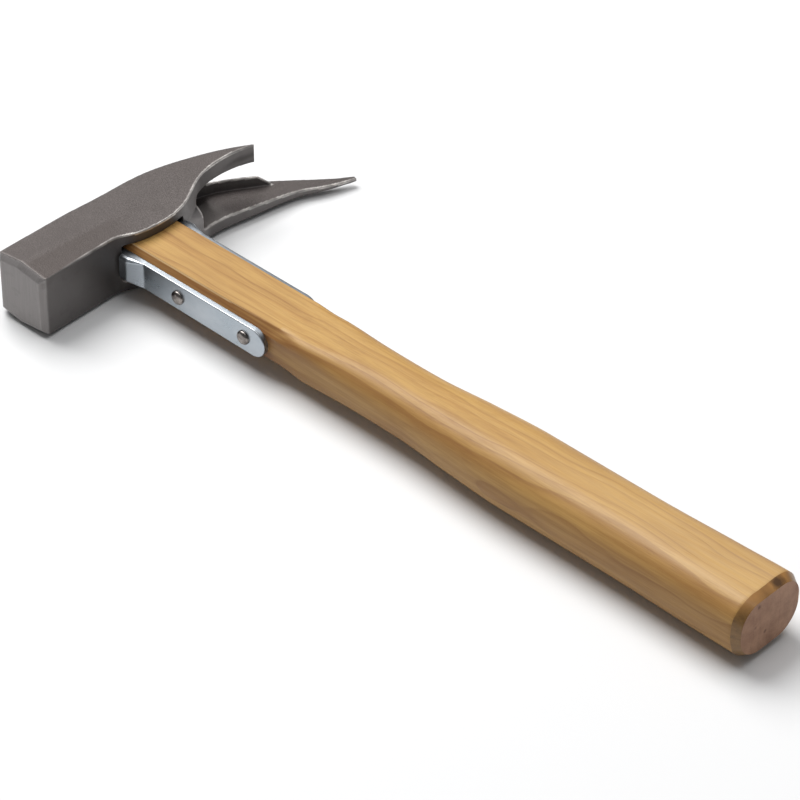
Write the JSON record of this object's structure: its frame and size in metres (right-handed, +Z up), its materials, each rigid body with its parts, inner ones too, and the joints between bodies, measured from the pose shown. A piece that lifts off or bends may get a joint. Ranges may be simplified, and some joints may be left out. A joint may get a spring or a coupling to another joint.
{
  "type": "lath hammer",
  "caption": "Forged lath hammer: square bevelled poll, claw of short chisel prong and long spike with a nail notch between, strapped and riveted wooden handle.",
  "frame": {"origin": "centre of the striking face", "axes": "+X along the handle towards its butt, +Y along the head from the striking face to the spike, +Z up out of the upper cheek with the hammer lying on its side"},
  "size_m": [0.3279, 0.1495, 0.029],
  "materials": {
    "forged_steel": "shot-blasted forging, ground smooth and dark on its underside and face",
    "lacquered_ash": "long grain, satin clear lacquer, bare end grain at the butt",
    "plated_steel": "bright zinc-plated strip, semi-gloss",
    "rivet_steel": "bare steel, domed heads",
    "wedge_wood": "unfinished",
    "wedge_steel": "mill scale"
  },
  "bodies": {
    "root": {"hammer_head": "forged_steel", "handle": "lacquered_ash", "front_strap": "plated_steel", "rear_strap": "plated_steel", "upper_rivet": "rivet_steel", "lower_rivet": "rivet_steel", "wooden_wedge": "wedge_wood", "steel_wedge_front": "wedge_steel", "steel_wedge_rear": "wedge_steel"}
  },
  "joints": []
}
